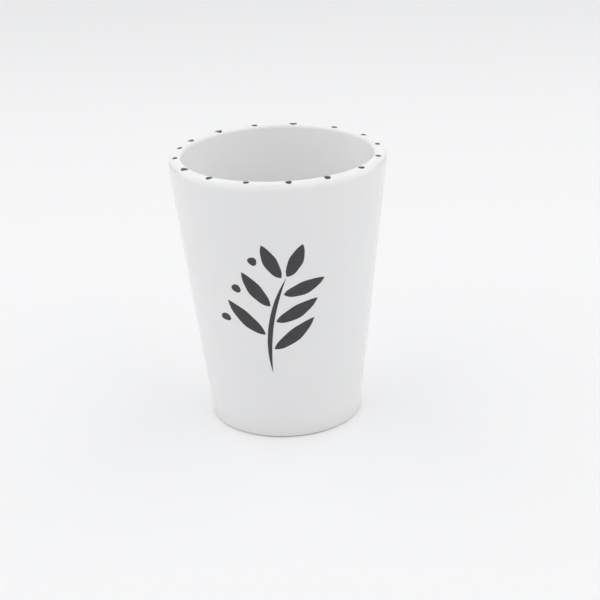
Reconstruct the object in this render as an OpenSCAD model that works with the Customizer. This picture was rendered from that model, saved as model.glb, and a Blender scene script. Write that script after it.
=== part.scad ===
// Handleless ceramic shot cup: a turned clay body, a fired glaze coat over it,
// a ring of dots dabbed on the lip and a brushed leafy sprig on the front.
// Millimetres, +Z up, the front faces -Y.
// The origin is the middle of the foot, on the table.

/* [Cup] */
// Outside diameter over the lip
rim_d = 47; // [40:0.5:60]
// Height from the table to the top of the lip
cup_h = 60.2; // [54:0.2:80]
// Outside diameter of the wall, carried down to the table
foot_d = 33.9; // [30:0.1:39]
// Thickness of the wall with its glaze
wall_t = 3; // [2.7:0.1:4]
// Radius of the outer edge of the lip
lip_outer_r = 1.6; // [1.2:0.05:1.7]
// Radius of the inner edge of the lip
lip_inner_r = 0.8; // [0.6:0.05:0.9]
// Height of the inside floor above the table
floor_h = 5; // [4:0.1:8]
// Radius of the hollow between the inside wall and the floor
floor_fillet_r = 5; // [2:0.5:9]

/* [Foot] */
// Height of the bare clay below the edge of the glaze
glaze_line_h = 0.3; // [0.25:0.05:3]
// Bevel round the bottom edge of the foot
foot_bevel = 0.15; // [0.1:0.05:0.2]
// Width of the flat ring that the cup stands on
foot_ring_w = 2.2; // [1.5:0.1:5]
// Depth of the recess inside the foot ring
recess_h = 1.2; // [0.6:0.1:2]
// How far the side of the recess leans inwards on its way up
recess_draft = 0.6; // [0.2:0.1:2]

/* [Glaze and paint] */
// Thickness of the glaze coat
glaze_t = 0.3; // [0.2:0.05:0.5]
// Thickness of the painted dots and strokes
paint_t = 0.1; // [0.05:0.05:0.2]

/* [Rim dots] */
// Number of dots round the lip
dot_count = 16; // [8:1:24]
// Diameter of a middling dot
dot_d = 1.4; // [1:0.05:1.7]
// Distance from the outside of the lip in to the middle of a dot
dot_inset = 1.55; // [1.3:0.05:1.6]
// Turn of the first dot from the +X axis
dot_turn = 9; // [0:1:22]

/* [Sprig] */
// Distance from the top of the lip down to the middle of the stem
sprig_drop = 32.2; // [28:0.2:36]
// Turn of the sprig round the cup, away from the front
sprig_turn = -2; // [-30:1:30]
// Length of the stem between its tips
stem_l = 23; // [18:0.5:28]
// Depth of the stem's bow
stem_bow = 1.2; // [0.8:0.1:2]
// Width of the stem at its thickest
stem_w = 1.1; // [0.6:0.1:1.6]
// Lean of the stem to the right
stem_lean = 9; // [0:1:20]
// Number of leaves beside the stem, right and left in turn
side_leaf_count = 6; // [4:1:6]
// Distance of the first leaf from the lower tip of the stem
first_leaf_l = 5; // [4:0.1:6]
// Distance of the last leaf from the upper tip of the stem
last_leaf_l = 1; // [0.5:0.1:2]
// Length of the lowest leaf
leaf_l = 11; // [8:0.5:12]
// How much shorter each leaf is than the one below it
leaf_shrink = 0.5; // [0:0.1:0.7]
// Width of a leaf from its middle line to its upper edge
leaf_crown = 1.2; // [0.8:0.1:1.4]
// Width of a leaf from its middle line to its lower edge
leaf_belly = 1.7; // [1.2:0.1:1.9]
// Angle between a leaf and the stem
leaf_angle = 52; // [45:1:58]
// Bare glaze left between the stem and a leaf
leaf_gap = 0.4; // [0.2:0.1:0.8]
// Number of berries, each opposite a leaf on the right
berry_count = 3; // [1:1:3]
// Diameter of a berry
berry_d = 1.9; // [1.2:0.1:2.2]
// Distance from the stem to the middle of the lowest berry
berry_reach = 11.5; // [8:0.5:12]

/* [Hidden] */
clay_colour = [0.76, 0.69, 0.60];
glaze_colour = [0.90, 0.91, 0.92];
paint_colour = [0.20, 0.20, 0.22];
round_fn = 180;
stroke_fn = 180;
lip_steps = 12;
fillet_steps = 16;
// Degrees by which the ring of paint that a dot is cut from runs past the dot
dot_margin = 4;
// Degrees of the wall that the ring of paint for the strokes covers
sprig_span = 120;

// The hand that set the dots drifted by a few degrees on its way round, and its brush left larger
// and smaller dots, here in percent of a middling one
dot_drift = [0, -2, 0, 4, 5, 6, 7, 0, -3, -3, -3, -3, -3, -4, -2, -1];
dot_share = [95, 90, 110, 130, 115, 140, 115, 90, 90, 125, 105, 90, 105, 115, 100, 95];

// The lip is round, with a narrow flat on top. The outside of the wall runs from the foot to the
// circle of the lip's outer edge, and the inside lies a wall's thickness behind it.
lip_outer_c = [rim_d / 2 - lip_outer_r, cup_h - lip_outer_r];
foot_to_lip = [foot_d / 2 - lip_outer_c.x, lip_outer_c.y];
lean = atan2(foot_to_lip.y, foot_to_lip.x) - acos(lip_outer_r / norm(foot_to_lip));
lip_inner_c = [
    wall_r(cup_h - lip_inner_r, wall_t - lip_inner_r),
    cup_h - lip_inner_r
];
fillet_c = [
    wall_r(floor_h + floor_fillet_r, wall_t + floor_fillet_r),
    floor_h + floor_fillet_r
];

foot_r = wall_r(foot_bevel, glaze_t);
ring_outer_r = foot_r - foot_bevel;
ring_inner_r = ring_outer_r - foot_ring_w;

dot_span = 2 * asin(dot_d * max(dot_share) / 100 / rim_d) + dot_margin;

sprig_h = cup_h - sprig_drop;
wall_top_h = lip_outer_c.y - lip_outer_r * sin(lean);

side_leaves = [for (i = [1:side_leaf_count]) str("sprig_leaf_", i)];
berries = [for (i = [1:berry_count]) str("sprig_berry_", i)];
rim_dots = [for (i = [1:dot_count]) str("rim_dot_", i < 10 ? "0" : "", i)];

// Radius, at height z, of a cone that lies at some depth under the outside of the wall
function wall_r(z, depth = 0) =
    lip_outer_c.x + (lip_outer_r - depth + (z - lip_outer_c.y) * sin(lean)) / cos(lean);

// Points on an arc from one angle to another
function arc(centre, r, from, to, steps) = [
    for (i = [0:steps])
        let (a = from + (to - from) * i / steps)
        centre + r * [cos(a), sin(a)]
];

function reversed(points) = [for (i = [len(points) - 1:-1:0]) points[i]];

// Half section of the lip from the outside over to the inside, at some depth under the surface
function lip(depth) = concat(
    arc(lip_outer_c, lip_outer_r - depth, -lean, 90, lip_steps),
    arc(lip_inner_c, lip_inner_r - depth, 90, 180 - lean, lip_steps)
);

// Half section of the cup from the glaze edge up the outside, over the lip and down to the
// middle of the floor, at some depth under the surface
function skin(depth) = concat(
    [[wall_r(glaze_line_h, depth), glaze_line_h]],
    lip(depth),
    arc(fillet_c, floor_fillet_r + depth, -lean, -90, fillet_steps),
    [[0, floor_h - depth]]
);

// Radius of the recess under the foot at height z
function recess_r(z) = ring_inner_r - recess_draft * z / recess_h;

// Radius of the circle whose arc over a chord rises to the given height
function arc_r(chord, rise) = (chord * chord / 4 + rise * rise) / (2 * rise);

function dot_angle(i) = dot_turn + i * 360 / dot_count + dot_drift[i % len(dot_drift)];

// Place and heading on the middle line of the stem, at a height along its chord
stem_r = arc_r(stem_l, stem_bow + stem_w / 2);
function stem_x(y) = stem_r - stem_bow - stem_w / 2 - sqrt(stem_r * stem_r - y * y);
function stem_heading(y) = asin(y / stem_r);
leaf_step = (stem_l - first_leaf_l - last_leaf_l) / (side_leaf_count - 1);
function leaf_y(i) = first_leaf_l - stem_l / 2 + i * leaf_step;
function leaf_hand(i) = i % 2 == 0 ? 1 : -1;

module revolve(section)
    rotate_extrude($fn = round_fn)
        polygon(section);

module clay_body()
    color(clay_colour)
        revolve(concat(
            [
                [0, recess_h],
                [recess_r(recess_h), recess_h],
                [ring_inner_r, 0],
                [ring_outer_r, 0],
                [foot_r, foot_bevel]
            ],
            skin(glaze_t)
        ));

module wall_glaze()
    color(glaze_colour)
        revolve(concat(skin(0), reversed(skin(glaze_t))));

module base_glaze()
    color(glaze_colour)
        revolve([
            [0, recess_h - glaze_t],
            [recess_r(recess_h - glaze_t), recess_h - glaze_t],
            [recess_r(recess_h), recess_h],
            [0, recess_h]
        ]);

// A stretch of a revolved section, centred on the given angle
module sector(section, middle, span)
    rotate([0, 0, middle - span / 2])
        rotate_extrude(angle = span, $fn = round_fn)
            polygon(section);

module rim_dot(i)
    color(paint_colour)
        rotate([0, 0, dot_angle(i)])
            intersection() {
                sector(concat(lip(0), reversed(lip(-paint_t))), 0, dot_span);
                translate([rim_d / 2 - dot_inset, 0, lip_outer_c.y])
                    cylinder(h = wall_t, d = dot_d * dot_share[i % len(dot_share)] / 100, $fn = stroke_fn);
            }

// A stroke of paint: a flat outline, drawn on the plane that touches the wall at the middle of
// the stem, and pressed straight on to the wall
module stroke()
    color(paint_colour)
        rotate([0, 0, sprig_turn])
            intersection() {
                sector([
                    [wall_r(glaze_line_h), glaze_line_h],
                    [wall_r(glaze_line_h, -paint_t), glaze_line_h],
                    [wall_r(wall_top_h, -paint_t), wall_top_h],
                    [wall_r(wall_top_h), wall_top_h]
                ], -90, sprig_span);
                translate([0, -wall_r(sprig_h), sprig_h])
                    rotate([90 + lean, 0, 0])
                        linear_extrude(height = wall_r(sprig_h), center = true)
                            rotate(-stem_lean)
                                children();
            }

// A pointed leaf that starts at the origin and runs along +Y, rounder on its right side
module leaf_outline(length) {
    right_r = arc_r(length, leaf_belly);
    left_r = arc_r(length, leaf_crown);
    translate([0, length / 2])
        intersection() {
            translate([leaf_belly - right_r, 0])
                circle(r = right_r, $fn = stroke_fn);
            translate([left_r - leaf_crown, 0])
                circle(r = left_r, $fn = stroke_fn);
        }
}

module sprig_stem() {
    outer_r = arc_r(stem_l, stem_bow + stem_w);
    inner_r = arc_r(stem_l, stem_bow);
    stroke()
        difference() {
            translate([outer_r - stem_bow - stem_w, 0])
                circle(r = outer_r, $fn = stroke_fn);
            translate([inner_r - stem_bow, 0])
                circle(r = inner_r, $fn = stroke_fn);
        }
}

module sprig_tip_leaf()
    stroke()
        translate([0, stem_l / 2])
            rotate(-stem_heading(stem_l / 2))
                translate([0, leaf_gap])
                    leaf_outline(leaf_l - side_leaf_count * leaf_shrink);

// Puts a mark beside the stem, at a height on its chord and at the leaves' angle.
// The hand is 1 to the right of the stem and -1 to the left.
module beside_stem(y, hand)
    translate([stem_x(y), y])
        rotate(-stem_heading(y) - hand * leaf_angle)
            children();

module sprig_leaf(i)
    stroke()
        beside_stem(leaf_y(i), leaf_hand(i))
            translate([0, (stem_w / 2 + leaf_gap) / sin(leaf_angle)])
                mirror([leaf_hand(i) < 0 ? 1 : 0, 0])
                    leaf_outline(leaf_l - i * leaf_shrink);

// The berries grow on the left, opposite the leaves on the right, which are every second leaf
module sprig_berry(i) {
    opposite = 2 * i;
    stroke()
        beside_stem(leaf_y(opposite), -1)
            translate([0, berry_reach - opposite * leaf_shrink])
                circle(d = berry_d, $fn = stroke_fn);
}

clay_body();
wall_glaze();
base_glaze();
for (i = [0:dot_count - 1])
    rim_dot(i);
sprig_stem();
sprig_tip_leaf();
for (i = [0:side_leaf_count - 1])
    sprig_leaf(i);
for (i = [0:berry_count - 1])
    sprig_berry(i);
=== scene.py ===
"""Looks of a ceramic shot cup: a white glazed wall on a bare clay foot, dots dabbed round the lip
and a leafy sprig brushed on the front. Everything is in metres, +Z up, and the front faces -Y."""

import math

import bpy
import numpy as np
from mathutils import Matrix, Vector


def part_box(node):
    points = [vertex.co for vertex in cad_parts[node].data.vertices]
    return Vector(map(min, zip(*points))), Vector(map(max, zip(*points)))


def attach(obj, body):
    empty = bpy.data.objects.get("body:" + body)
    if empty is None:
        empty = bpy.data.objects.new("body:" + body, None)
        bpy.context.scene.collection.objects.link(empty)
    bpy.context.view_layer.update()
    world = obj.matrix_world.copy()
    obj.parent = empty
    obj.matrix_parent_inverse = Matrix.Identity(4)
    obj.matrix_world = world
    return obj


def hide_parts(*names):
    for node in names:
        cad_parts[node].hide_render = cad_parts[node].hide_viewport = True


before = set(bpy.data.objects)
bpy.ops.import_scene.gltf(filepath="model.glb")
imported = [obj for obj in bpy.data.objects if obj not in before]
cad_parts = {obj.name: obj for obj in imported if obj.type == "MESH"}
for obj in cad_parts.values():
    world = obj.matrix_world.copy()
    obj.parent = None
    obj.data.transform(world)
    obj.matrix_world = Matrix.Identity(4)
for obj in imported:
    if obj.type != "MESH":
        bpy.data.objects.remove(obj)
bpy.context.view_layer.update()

MM = 0.001

# Sizes of the cup: what the frame shows is read from it, the rest is as the solids have it
glaze_low, glaze_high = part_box("wall_glaze")
clay_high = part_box("clay_body")[1]
base_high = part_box("base_glaze")[1]
CUP_H = glaze_high.z
RIM_R = glaze_high.x
GLAZE_LINE_H = glaze_low.z
GLAZE_T = CUP_H - clay_high.z
PAINT_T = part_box("rim_dot_01")[1].z - CUP_H
WALL_T = 3.0 * MM
LIP_OUTER_R = 1.6 * MM
LIP_INNER_R = 0.8 * MM
FOOT_R = 16.95 * MM
FLOOR_H = 5.0 * MM
FLOOR_FILLET_R = 5.0 * MM
RECESS_H = base_high.z
RECESS_DRAFT = 0.6 * MM
RING_INNER_R = base_high.x + RECESS_DRAFT * (RECESS_H - GLAZE_T) / RECESS_H

# What finishing and firing add: the round edges of the foot ring, the hollow in which the glaze
# climbs the recess, how far the radius swells and the lip dips, and the gap that keeps the faces
# of two layers apart
FOOT_ROUND = 0.15 * MM
RING_INNER_ROUND = 0.3 * MM
BASE_CLIMB = 0.3 * MM
BASE_HOLLOW = 0.9 * MM
KILN_SWELL = 0.0012
KILN_DIP = 0.05 * MM
LAYER_GAP = 0.01 * MM

# The middle of the lip's outer edge, and the lean of the wall, which runs from the foot to touch
# that edge
OUTER_C = np.array([RIM_R - LIP_OUTER_R, CUP_H - LIP_OUTER_R])
FOOT_TO_LIP = np.array([FOOT_R - OUTER_C[0], OUTER_C[1]])
LEAN = (
    math.atan2(FOOT_TO_LIP[1], FOOT_TO_LIP[0])
    - math.acos(LIP_OUTER_R / np.hypot(*FOOT_TO_LIP))
)

# The sprig, drawn flat on the plane that touches the wall at the middle of its stem
SPRIG_H = CUP_H - 32.2 * MM
SPRIG_TURN = math.radians(-2)
STEM_L = 23.0 * MM
STEM_BOW = 1.2 * MM
STEM_W = 1.1 * MM
STEM_LEAN = math.radians(9)
SIDE_LEAVES = 6
FIRST_LEAF_L = 5.0 * MM
LAST_LEAF_L = 1.0 * MM
LEAF_L = 11.0 * MM
LEAF_SHRINK = 0.5 * MM
LEAF_CROWN = 1.2 * MM
LEAF_BELLY = 1.7 * MM
LEAF_ANGLE = math.radians(52)
LEAF_GAP = 0.4 * MM
BERRIES = 3
BERRY_D = 1.9 * MM
BERRY_REACH = 11.5 * MM

# The dots: distance from the outside of the lip in to the middle of a dot, and how much of a
# solid's width its dab covers
DOT_INSET = 1.55 * MM
DOT_COVER = 0.93

# The brush: how deep paint sinks into the glaze, the width from which a stroke has its full
# thickness, how unevenly it draws dabs, leaves and the stem, and how wide it leaves their tips
PAINT_SINK = 0.05 * MM
FULL_STROKE_W = 0.5 * MM
DAB_STRETCH = (0.04, 0.14)
DAB_CORNER = (0.02, 0.07)
LEAF_WAVER = 0.035
LEAF_BLUNT = 0.5
LEAF_TIP_W = 0.01 * MM
STEM_WAVER = 0.06
STEM_TIP_W = 0.02 * MM

# Points round the cup and round a dab
CUP_TURNS = 240
DAB_TURNS = 48

# The unsteady hand that holds the brush
hand = np.random.default_rng(16)


def wall_r(z, depth=0.0):
    """Radius at height z of the cone that lies at some depth under the outside of the wall."""
    return OUTER_C[0] + (LIP_OUTER_R - depth + (z - OUTER_C[1]) * math.sin(LEAN)) / math.cos(LEAN)


INNER_C = np.array([wall_r(CUP_H - LIP_INNER_R, WALL_T - LIP_INNER_R), CUP_H - LIP_INNER_R])


def line(start, end, steps):
    """Evenly spaced rows (r, z) from start to end."""
    return np.linspace(start, end, steps + 1)


def arc(centre, radius, start, end, steps):
    """Rows (r, z) on a circle: the centre plus radius times cosine and sine of even angles."""
    angle = np.linspace(start, end, steps + 1)
    return np.asarray(centre) + radius * np.column_stack([np.cos(angle), np.sin(angle)])


def joined(*runs):
    """One section from several runs of rows, without the rows that two runs share."""
    return np.concatenate([runs[0], *(run[1:] for run in runs[1:])])


def skin(depth, edge_h):
    """Half section of the cup at some depth under its surface: from the middle of the floor, round
    the fillet, up the inside, over the round lip with its narrow flat and down to edge_h."""
    fillet_h = FLOOR_H + FLOOR_FILLET_R
    fillet_c = (wall_r(fillet_h, WALL_T + FLOOR_FILLET_R), fillet_h)
    fillet = arc(fillet_c, FLOOR_FILLET_R + depth, -math.pi / 2, -LEAN, 16)
    lip = np.concatenate([
        arc(INNER_C, LIP_INNER_R - depth, math.pi - LEAN, math.pi / 2, 14),
        arc(OUTER_C, LIP_OUTER_R - depth, math.pi / 2, -LEAN, 14),
    ])
    return joined(
        line((0, FLOOR_H - depth), fillet[0], 12),
        fillet,
        line(fillet[-1], lip[0], 48),
        lip,
        line(lip[-1], (wall_r(edge_h, depth), edge_h), 56),
    )


def glaze_section():
    """The coat on the wall: the surface, a round edge above the foot, and the coat's clay side."""
    half = GLAZE_T / 2
    edge_h = GLAZE_LINE_H + half
    edge = arc((wall_r(edge_h, half), edge_h), half, -LEAN, -LEAN - math.pi, 10)
    return joined(skin(0, edge[0, 1]), edge, skin(GLAZE_T, edge[-1, 1])[::-1])


def clay_section():
    """The clay: the recess under the foot, the ring with its round edges, and all that the glaze
    hides."""
    side = math.atan2(RECESS_DRAFT, RECESS_H)
    inner_r = RING_INNER_R + RING_INNER_ROUND * (1 - math.sin(side)) / math.cos(side)
    inner = arc((inner_r, RING_INNER_ROUND), RING_INNER_ROUND, math.pi + side, 1.5 * math.pi, 6)
    outer_r = wall_r(FOOT_ROUND, GLAZE_T + FOOT_ROUND)
    outer = arc((outer_r, FOOT_ROUND), FOOT_ROUND, -math.pi / 2, -LEAN, 10)
    ceiling_end = (RING_INNER_R - RECESS_DRAFT, RECESS_H)
    hidden = skin(GLAZE_T + LAYER_GAP, GLAZE_LINE_H + GLAZE_T)[::-1]
    return joined(
        line((0, RECESS_H), ceiling_end, 10),
        line(ceiling_end, inner[0], 4),
        inner,
        line(inner[-1], outer[0], 8),
        outer,
        line(outer[-1], hidden[0], 4),
        hidden,
    )


def base_section():
    """The glaze under the foot: flat, then a hollow where it climbs the side of the recess, a
    quarter of an ellipse that leaves the flat smoothly and meets the side upright."""
    flat_h = RECESS_H - GLAZE_T
    side_r = RING_INNER_R - RECESS_DRAFT * (flat_h - BASE_CLIMB) / RECESS_H + LAYER_GAP
    angle = np.linspace(0, math.pi / 2, 10)
    hollow = np.column_stack([
        side_r - BASE_HOLLOW * (1 - np.sin(angle)),
        flat_h - BASE_CLIMB * (1 - np.cos(angle)),
    ])
    top_h = RECESS_H + LAYER_GAP
    top = (RING_INNER_R - RECESS_DRAFT, top_h)
    return joined(
        line((0, flat_h), hollow[0], 8),
        hollow,
        line(hollow[-1], top, 3),
        line(top, (0, top_h), 8),
    )


def settled(points):
    """The cup as it came out of the kiln: the radius swells and shrinks by about two thousandths
    of itself, two and three times round, and the lip dips a little, both growing with height."""
    x, y, z = np.moveaxis(points, -1, 0)
    angle = np.arctan2(y, x)
    high = np.clip(z / CUP_H, 0, 1)
    swell = 1 + KILN_SWELL * high * (np.sin(2 * angle + 0.6) + 0.6 * np.sin(3 * angle + 2.1))
    dip = KILN_DIP * high ** 2 * np.sin(2 * angle + 4.2)
    return np.stack([x * swell, y * swell, z + dip], axis=-1)


def placed(name, data):
    """A new object in the scene."""
    made = bpy.data.objects.new(name, data)
    bpy.context.scene.collection.objects.link(made)
    return made


def closed_skin(name, grid, first_end, last_end, flow=None):
    """A closed mesh from a grid of points whose columns run round and whose first and last rows
    close on single points. flow gives each point its place along and across a stroke, as a UV."""
    rows, columns = grid.shape[:2]
    index = np.arange(rows * columns).reshape(rows, columns)
    after = np.roll(index, -1, axis=1)
    quads = np.stack([index[:-1], after[:-1], after[1:], index[1:]], axis=-1).reshape(-1, 4)
    first, last = rows * columns, rows * columns + 1
    fans = np.concatenate([
        np.column_stack([np.full(columns, first), after[0], index[0]]),
        np.column_stack([np.full(columns, last), index[-1], after[-1]]),
    ])
    points = settled(np.concatenate([grid.reshape(-1, 3), [first_end, last_end]]))
    corners = points[np.concatenate([quads[:, [0, 1, 2]], quads[:, [0, 2, 3]], fans])]
    volume = np.einsum("ij,ij->", corners[:, 0], np.cross(corners[:, 1], corners[:, 2]))
    turn = 1 if volume > 0 else -1
    mesh = bpy.data.meshes.new(name)
    mesh.from_pydata(points.tolist(), [], quads[:, ::turn].tolist() + fans[:, ::turn].tolist())
    mesh.polygons.foreach_set("use_smooth", np.ones(len(mesh.polygons), dtype=bool))
    if flow is not None:
        corner = np.zeros(len(mesh.loops), dtype=np.int32)
        mesh.loops.foreach_get("vertex_index", corner)
        layer = mesh.uv_layers.new(name="flow")
        layer.data.foreach_set("uv", flow[corner].astype(np.float32).ravel())
    mesh.update()
    return placed(name, mesh)


def lathe(name, section):
    """A solid of revolution: each row (r, z) of a section that starts and ends on the axis becomes
    a ring of points (r cos a, r sin a, z)."""
    angle = np.linspace(0, 2 * math.pi, CUP_TURNS, endpoint=False)
    r, z = section[1:-1, :1], section[1:-1, 1:]
    grid = np.stack([r * np.cos(angle), r * np.sin(angle), z + 0 * angle], axis=-1)
    return closed_skin(name, grid, (0, 0, section[0, 1]), (0, 0, section[-1, 1]))


def on_lip(angle):
    """Carries a mark on to the lip: x runs round the rim and y outwards over the lip, along the
    flat top and round its edges, and the height stands out from the surface."""
    def carry(x, y, height):
        r = RIM_R - DOT_INSET + y
        outer = np.maximum(r - OUTER_C[0], 0) / LIP_OUTER_R
        inner = np.maximum(INNER_C[0] - r, 0) / LIP_INNER_R
        flat_r = np.clip(r, INNER_C[0], OUTER_C[0])
        outer_r, inner_r = LIP_OUTER_R + height, LIP_INNER_R + height
        r = flat_r + outer_r * np.sin(outer) - inner_r * np.sin(inner)
        z = CUP_H + height - outer_r * (1 - np.cos(outer)) - inner_r * (1 - np.cos(inner))
        turn = angle + x / (RIM_R - DOT_INSET)
        return np.stack([r * np.cos(turn), r * np.sin(turn), z], axis=-1)
    return carry


def on_wall(x, y, height):
    """Presses a mark of the sprig straight on to the wall. With L the lean, and A the radius at
    the middle plus y sin L, the way in from the plane is
    cos L (A - sqrt(A^2 - x^2 cos 2L)) / cos 2L."""
    x, y = (
        x * math.cos(STEM_LEAN) + y * math.sin(STEM_LEAN),
        y * math.cos(STEM_LEAN) - x * math.sin(STEM_LEAN),
    )
    a = wall_r(SPRIG_H) + y * math.sin(LEAN)
    double = math.cos(2 * LEAN)
    way_in = math.cos(LEAN) * (a - np.sqrt(a ** 2 - x ** 2 * double)) / double
    forward = a - way_in * math.cos(LEAN)
    z = SPRIG_H + y * math.cos(LEAN) + way_in * math.sin(LEAN) - height * math.sin(LEAN)
    r = np.hypot(x, forward) + height * math.cos(LEAN)
    turn = np.arctan2(-forward, x) + SPRIG_TURN
    return np.stack([r * np.cos(turn), r * np.sin(turn), z], axis=-1)


def beside(carry, x0, y0):
    """The same way of carrying a mark, with the mark's middle moved to (x0, y0)."""
    return lambda x, y, height: carry(x + x0, y + y0, height)


def dab(name, size, carry):
    """A dab of paint: a disc whose outline wavers two and three times round, domed on top as
    thickness times sqrt(1 - share^4), and closed a little under the glaze."""
    angle = np.linspace(0, 2 * math.pi, DAB_TURNS, endpoint=False)
    stretch = hand.uniform(*DAB_STRETCH)
    corner = hand.uniform(*DAB_CORNER)
    phase = hand.uniform(0, 2 * math.pi, 2)
    waver = stretch * np.cos(2 * angle - phase[0]) + corner * np.cos(3 * angle - phase[1])
    top = np.array([0.2, 0.4, 0.6, 0.75, 0.86, 0.93, 0.97, 1.0])
    under = np.array([0.98, 0.6])
    height = np.concatenate([PAINT_T * np.sqrt(1 - top ** 4), np.full(len(under), -PAINT_SINK)])
    r = size * np.concatenate([top, under])[:, None] * (0.5 + 0.5 * waver)
    x, y = r * np.cos(angle), r * np.sin(angle)
    grid = carry(x, y, height[:, None] + 0 * x)
    middle = np.zeros(1)
    ends = [carry(middle, middle, middle + end_height)[0] for end_height in (PAINT_T, -PAINT_SINK)]
    flow = np.concatenate([np.stack([x, y], axis=-1).reshape(-1, 2), np.zeros((2, 2))]) / MM
    return closed_skin(name, grid, *ends, flow)


def stroke(name, spine, left, right):
    """A brush stroke on the wall: a spine of points, widths to its left and right, a top that is
    flat with round shoulders, sqrt(1 - across^6), and an underside a little under the glaze."""
    along = np.gradient(spine, axis=0)
    along = along / np.linalg.norm(along, axis=1, keepdims=True)
    to_right = np.column_stack([along[:, 1], -along[:, 0]])
    top = np.sin(np.linspace(-math.pi / 2, math.pi / 2, 15))
    under = np.linspace(0.96, -0.96, 7)
    across = np.concatenate([top, under])
    on_top = np.arange(len(across)) < len(top)
    width = np.where(across > 0, right[:, None], left[:, None]) * across
    x = spine[:, :1] + to_right[:, :1] * width
    y = spine[:, 1:] + to_right[:, 1:] * width
    full = np.minimum(1, (left + right) / FULL_STROKE_W)[:, None]
    height = np.where(on_top, PAINT_T * full * np.sqrt(1 - across ** 6), -PAINT_SINK)
    grid = on_wall(x, y, height)
    length = np.concatenate([[0], np.cumsum(np.linalg.norm(np.diff(spine, axis=0), axis=1))])
    offset = hand.uniform(0, 50, 2)
    flow = np.stack([length[:, None] + 0 * width, width], axis=-1).reshape(-1, 2) / MM + offset
    tips = [on_wall(spine[end, :1], spine[end, 1:], np.zeros(1))[0] for end in (0, -1)]
    return closed_skin(name, grid, *tips, np.concatenate([flow, flow[[0, -1]]]))


def denser_at_ends(start, end, count):
    """Shares of a length that lie closer at its ends: half of 1 - cos(pi t) for even t."""
    return 0.5 - 0.5 * np.cos(np.linspace(start, end, count) * math.pi)


def bulge(chord, rise, share):
    """How far a circle's arc stands off its chord, at a share of the chord's length."""
    radius = (chord ** 2 / 4 + rise ** 2) / (2 * rise)
    return np.sqrt(np.maximum(radius ** 2 - (chord * (share - 0.5)) ** 2, 0)) - (radius - rise)


STEM_R = (STEM_L ** 2 / 4 + (STEM_BOW + STEM_W / 2) ** 2) / (2 * (STEM_BOW + STEM_W / 2))
LEAF_STEP = (STEM_L - FIRST_LEAF_L - LAST_LEAF_L) / (SIDE_LEAVES - 1)


def stem_x(y):
    """Place across, on the middle line of the stem, at a height y along its chord."""
    return STEM_R - STEM_BOW - STEM_W / 2 - np.sqrt(STEM_R ** 2 - y ** 2)


def stem_heading(y):
    """Angle from upright, to the right, of the stem at a height y along its chord."""
    return math.asin(y / STEM_R)


def leaf_y(i):
    """Height along the stem's chord from which a side leaf grows."""
    return FIRST_LEAF_L - STEM_L / 2 + i * LEAF_STEP


def leaf(name, foot, heading, length, right_hand):
    """A leaf laid down in one press of the brush: blunt where it lands, pointed where it lifts."""
    share = denser_at_ends(0.02, 1, 44)
    waver = 1 + LEAF_WAVER * np.sin(2 * math.pi * (2.3 * share + hand.uniform()))
    blunt = 1 + LEAF_BLUNT * (1 - share) ** 6
    belly = bulge(length, LEAF_BELLY, share) * waver * blunt + LEAF_TIP_W
    crown = bulge(length, LEAF_CROWN, share) * waver[::-1] * blunt + LEAF_TIP_W
    way = np.array([math.sin(heading), math.cos(heading)])
    spine = np.asarray(foot) + share[:, None] * length * way
    return stroke(name, spine, *((crown, belly) if right_hand else (belly, crown)))


class Shade:
    """A socket in a material's nodes. Arithmetic on it adds Math nodes."""

    def __init__(self, tree, socket=None):
        self.tree = tree
        self.socket = socket

    def node(self, kind, settings=None, sockets=None, out=0):
        """Adds a node: its settings first, then what its sockets hold. Returns one output."""
        made = self.tree.nodes.new(kind)
        for name, value in (settings or {}).items():
            setattr(made, name, value)
        for name, value in (sockets or {}).items():
            if isinstance(value, Shade):
                self.tree.links.new(value.socket, made.inputs[name])
            else:
                made.inputs[name].default_value = value
        return Shade(self.tree, made.outputs[out])

    def math(self, operation, first, second):
        return self.node("ShaderNodeMath", {"operation": operation}, {0: first, 1: second})

    def __add__(self, other):
        return self.math("ADD", self, other)

    def __mul__(self, other):
        return self.math("MULTIPLY", self, other)

    __radd__ = __add__
    __rmul__ = __mul__

    def ramp(self, low, high):
        """0 at low and beyond, 1 at high and beyond, and smooth between."""
        return self.node(
            "ShaderNodeMapRange",
            {"interpolation_type": "SMOOTHSTEP"},
            {"Value": self, "From Min": low, "From Max": high},
        )

    def tint(self, plain, other):
        """A colour from plain, where this value is 0, to other, where it is 1."""
        return self.node(
            "ShaderNodeMix", {"data_type": "RGBA"}, {0: self, 6: plain, 7: other}, out=2
        )

    def noise(self, scale, detail=2.0):
        """Cloudy noise at the place that this vector gives."""
        return self.node(
            "ShaderNodeTexNoise", {}, {"Vector": self, "Scale": scale, "Detail": detail}
        )

    def part(self, axis):
        """One of the three numbers of a vector."""
        return self.node("ShaderNodeSeparateXYZ", {}, {0: self}, out=axis)

    def scaled(self, factors):
        """A vector with each of its three numbers multiplied by a factor."""
        return self.node("ShaderNodeVectorMath", {"operation": "MULTIPLY"}, {0: self, 1: factors})

    def bump(self):
        """The normal of a surface that stands out by this height in metres."""
        return self.node(
            "ShaderNodeBump", {}, {"Strength": 1.0, "Distance": 1.0, "Height": self}
        )


def new_material(name, constants):
    """A material with the constants set on its shader. Returns it, its shader and a Shade to start
    from."""
    material = bpy.data.materials.new(name)
    material.use_nodes = True
    shader = material.node_tree.nodes["Principled BSDF"]
    for socket, value in constants.items():
        shader.inputs[socket].default_value = value
    return material, shader, Shade(material.node_tree)


def feed(shader, **links):
    """Links shades to the shader's sockets, Base_Color standing for Base Color."""
    for name, shade in links.items():
        shade.tree.links.new(shade.socket, shader.inputs[name.replace("_", " ")])


def ray_is(start, kind):
    """1 for the rays of one kind, 0 for all others."""
    return start.node("ShaderNodeLightPath", out=f"Is {kind} Ray")


def colour(r, g, b):
    return (r, g, b, 1.0)


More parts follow.
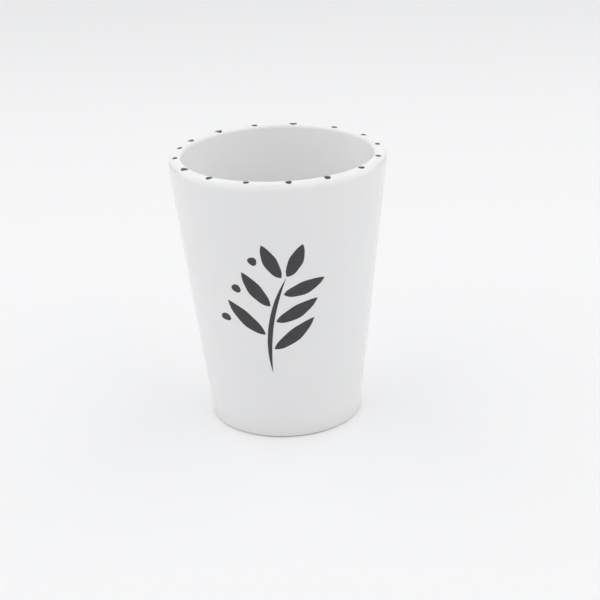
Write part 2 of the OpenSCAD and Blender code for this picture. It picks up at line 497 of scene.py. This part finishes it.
# Glaze and enamel are both glass. The glaze thins over the height above its edge, and the sponge's
# rings on the clay lie a pitch apart
GLASS = {"IOR": 1.5, "Specular IOR Level": 0.5}
THIN_GLAZE_H = 5.0 * MM
SPONGE_PITCH = 0.45 * MM


def white_glaze():
    """Glossy white glaze: a little uneven in thickness, warmer where it thins at the foot, with an
    orange-peel skin, slow ripples and a few iron specks."""
    material, shader, start = new_material("white_glaze", GLASS)
    where = start.node("ShaderNodeTexCoord", out="Object")
    thick = where.noise(60.0)
    foot = where.part("Z").ramp(GLAZE_LINE_H + THIN_GLAZE_H, GLAZE_LINE_H)
    white = thick.tint(colour(0.918, 0.920, 0.927), colour(0.937, 0.938, 0.940))
    white = (foot * 0.4).tint(white, colour(0.860, 0.845, 0.815))
    cells = {"Vector": where, "Scale": 130.0}
    speck_far = start.node("ShaderNodeTexVoronoi", {}, cells, out="Distance")
    speck_kind = start.node("ShaderNodeTexVoronoi", {}, cells, out="Color").part("X")
    specks = speck_far.ramp(0.022, 0.010) * speck_kind.ramp(0.90, 0.92)
    white = (specks * 0.75).tint(white, colour(0.16, 0.13, 0.10))
    peel = where.noise(800.0, 1.0)
    ripple = where.noise(85.0, 1.0)
    skin_height = peel * (0.004 * MM) + ripple * (0.03 * MM)
    feed(shader, Base_Color=white, Roughness=0.10 + thick * 0.08, Normal=skin_height.bump())
    return material


def bare_clay():
    """Unglazed fired clay: sandy grain, darker grog, and fine rings that the sponge left as the cup
    turned on the wheel."""
    material, shader, start = new_material("bare_clay", {"Specular IOR Level": 0.25})
    where = start.node("ShaderNodeTexCoord", out="Object")
    grain = where.noise(2600.0, 4.0)
    patches = where.noise(220.0, 2.0)
    flat = where.scaled((1, 1, 0))
    r = start.node("ShaderNodeVectorMath", {"operation": "LENGTH"}, {0: flat}, out="Value")
    rings = start.math("SINE", r * (2 * math.pi / SPONGE_PITCH) + patches * 5.0, 0.0)
    clay = patches.ramp(0.3, 0.7).tint(colour(0.46, 0.41, 0.36), colour(0.56, 0.505, 0.45))
    clay = (grain.ramp(0.62, 0.72) * 0.55).tint(clay, colour(0.32, 0.26, 0.20))
    grain_height = grain * (0.03 * MM) + rings * (0.006 * MM)
    feed(shader, Base_Color=clay, Roughness=0.80 + grain * 0.15, Normal=grain_height.bump())
    return material


def charcoal_paint():
    """Charcoal enamel put on with a brush: streaks along the stroke, darker where it pooled."""
    material, shader, start = new_material("charcoal_paint", GLASS)
    flow = start.node("ShaderNodeUVMap", {"uv_map": "flow"})
    streak = flow.scaled((0.12, 2.6, 1.0)).noise(1.0, 3.0)
    mottle = flow.noise(0.9, 2.0)
    dark = streak.ramp(0.25, 0.75).tint(colour(0.030, 0.0295, 0.034), colour(0.052, 0.051, 0.057))
    dark = (mottle.ramp(0.45, 0.8) * 0.5).tint(dark, colour(0.026, 0.0255, 0.030))
    streak_height = streak * (0.008 * MM)
    feed(shader, Base_Color=dark, Roughness=0.26 + streak * 0.22, Normal=streak_height.bump())
    return material


def finished(piece, material, slot, *nodes):
    """Gives a piece its finish and its place in the assembly."""
    piece.data.materials.append(material)
    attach(piece, "root")
    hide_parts(*nodes)


def make_dots(paint):
    """A dab on the lip for each dot of the frame."""
    for node in sorted(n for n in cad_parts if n.startswith("rim_dot_")):
        low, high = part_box(node)
        angle = math.atan2(low.y + high.y, low.x + high.x)
        size = DOT_COVER * (high.x - low.x + high.y - low.y) / 2
        finished(dab(f"{node}_dabbed", size, on_lip(angle)), paint, "paint", node)


def make_sprig(paint):
    """The stem, its leaves to the right and left in turn, the leaf at its tip, and the berries."""
    share = denser_at_ends(0.02, 0.98, 64)
    y = STEM_L * (share - 0.5)
    waver = 1 + STEM_WAVER * np.sin(9 * share)
    half = STEM_W / 2 * (1 - (2 * share - 1) ** 2) * waver + STEM_TIP_W
    stem = stroke("sprig_stem_brushed", np.column_stack([stem_x(y), y]), half, half)
    finished(stem, paint, "paint", "sprig_stem")
    for i in range(SIDE_LEAVES):
        right_hand = i % 2 == 0
        heading = stem_heading(leaf_y(i)) + (LEAF_ANGLE if right_hand else -LEAF_ANGLE)
        start = (STEM_W / 2 + LEAF_GAP) / math.sin(LEAF_ANGLE)
        foot = (
            stem_x(leaf_y(i)) + start * math.sin(heading),
            leaf_y(i) + start * math.cos(heading),
        )
        length = LEAF_L - i * LEAF_SHRINK
        made = leaf(f"sprig_leaf_{i + 1}_brushed", foot, heading, length, right_hand)
        finished(made, paint, "paint", f"sprig_leaf_{i + 1}")
    heading = stem_heading(STEM_L / 2)
    foot = (LEAF_GAP * math.sin(heading), STEM_L / 2 + LEAF_GAP * math.cos(heading))
    length = LEAF_L - SIDE_LEAVES * LEAF_SHRINK
    made = leaf("sprig_tip_leaf_brushed", foot, heading, length, True)
    finished(made, paint, "paint", "sprig_tip_leaf")
    for i in range(BERRIES):
        y = leaf_y(2 * i)
        reach = BERRY_REACH - 2 * i * LEAF_SHRINK
        heading = stem_heading(y) - LEAF_ANGLE
        middle = (stem_x(y) + reach * math.sin(heading), y + reach * math.cos(heading))
        made = dab(f"sprig_berry_{i + 1}_dabbed", BERRY_D, beside(on_wall, *middle))
        finished(made, paint, "paint", f"sprig_berry_{i + 1}")


def make_cup():
    """Every piece of the cup, in its finish."""
    glaze, clay, paint = white_glaze(), bare_clay(), charcoal_paint()
    finished(lathe("glaze_coat", glaze_section()), glaze, "glaze", "wall_glaze")
    finished(lathe("clay_cup", clay_section()), clay, "clay", "clay_body")
    finished(lathe("foot_glaze", base_section()), glaze, "glaze", "base_glaze")
    make_dots(paint)
    make_sprig(paint)


# The camera, as the photograph has it
CAMERA_AT = (3.78 * MM, -290.1 * MM, 146.4 * MM)
CAMERA_TILT = math.radians(22.618)
CAMERA_ROLL = math.radians(-1.915)
FOCAL_PIXELS = 1404
IMAGE_PIXELS = 600
SENSOR_W = 36.0
CLIP_START = 0.01

# The floor: how far it reaches to each side, and between which distances behind the cup a painted
# shade darkens it
STAGE_REACH = 3.0
STAGE_PAINTED_SHADE_FADE = (0.08, 0.60)

# The light: strength of the room, as it lights, as reflections show it and as it is seen, and the
# soft lamps: strength, width, and degrees that each leans from overhead to the front and the right
ROOM_LIGHT = 0.17
ROOM_REFLECTED = 0.39
ROOM_SEEN = 1.0
LAMPS = {
    "left_lamp": (1.29, 80, 0, -48),
    "right_lamp": (1.29, 80, 0, 48),
    "front_lamp": (0.71, 80, 60, 0),
    "back_lamp": (0.76, 80, -57, 0),
}


def make_camera():
    """Looks along +Y, tilted down, then rolled about its own line of sight."""
    data = bpy.data.cameras.new("camera")
    data.sensor_width = SENSOR_W
    data.lens = SENSOR_W * FOCAL_PIXELS / IMAGE_PIXELS
    data.clip_start = CLIP_START
    camera = placed("camera", data)
    upright = Matrix.Rotation(math.pi / 2 - CAMERA_TILT, 4, "X")
    roll = Matrix.Rotation(CAMERA_ROLL, 4, "Z")
    camera.matrix_world = Matrix.Translation(CAMERA_AT) @ upright @ roll
    bpy.context.scene.camera = camera


def make_floor():
    """A pale floor with painted shade that darkens it a little into the distance. As the camera and
    reflections see it, some of its paleness is a glow, painted light which keeps the cup's shadow
    faint."""
    mesh = bpy.data.meshes.new("floor")
    square = ((-1, -1), (1, -1), (1, 1), (-1, 1))
    mesh.from_pydata([(x * STAGE_REACH, y * STAGE_REACH, 0) for x, y in square], [], [(0, 1, 2, 3)])
    floor = placed("floor", mesh)
    constants = {"Roughness": 0.9, "Specular IOR Level": 0.0, "Emission Strength": 1.0}
    material, shader, start = new_material("pale_floor", constants)
    # Painted shade: the floor's colour, as the camera sees it, darkens with distance behind the cup
    # as if its light fell off
    far = start.node("ShaderNodeTexCoord", out="Object").part("Y").ramp(*STAGE_PAINTED_SHADE_FADE)
    pale = far.tint(colour(0.698, 0.700, 0.706), colour(0.605, 0.607, 0.613))
    # Painted light: the floor glows for the camera and reflections, which lightens the cup's shadow
    glow = far.tint(colour(0.258, 0.259, 0.262), colour(0.222, 0.223, 0.226))
    seen = ray_is(start, "Camera") + ray_is(start, "Glossy")
    feed(
        shader,
        Base_Color=seen.tint(colour(0.820, 0.822, 0.830), pale),
        Emission_Color=seen.tint(colour(0, 0, 0), glow),
    )
    mesh.materials.append(material)


def make_light():
    """An even pale room, brighter where reflections and the camera see it, and wide soft lamps."""
    world = bpy.data.worlds.new("room")
    world.use_nodes = True
    bpy.context.scene.world = world
    start = Shade(world.node_tree)
    background = world.node_tree.nodes["Background"]
    background.inputs["Color"].default_value = colour(0.985, 0.99, 1.0)
    strength = ROOM_LIGHT + ray_is(start, "Glossy") * (ROOM_REFLECTED - ROOM_LIGHT)
    strength = strength + ray_is(start, "Camera") * (ROOM_SEEN - ROOM_LIGHT)
    feed(background, Strength=strength)
    for name, (energy, width, forward, aside) in LAMPS.items():
        lamp = bpy.data.lights.new(name, "SUN")
        lamp.energy = energy
        lamp.angle = math.radians(width)
        placed(name, lamp).rotation_euler = (math.radians(forward), math.radians(aside), 0)


make_camera()
make_cup()
make_floor()
make_light()
bpy.context.scene.view_settings.view_transform = "Standard"
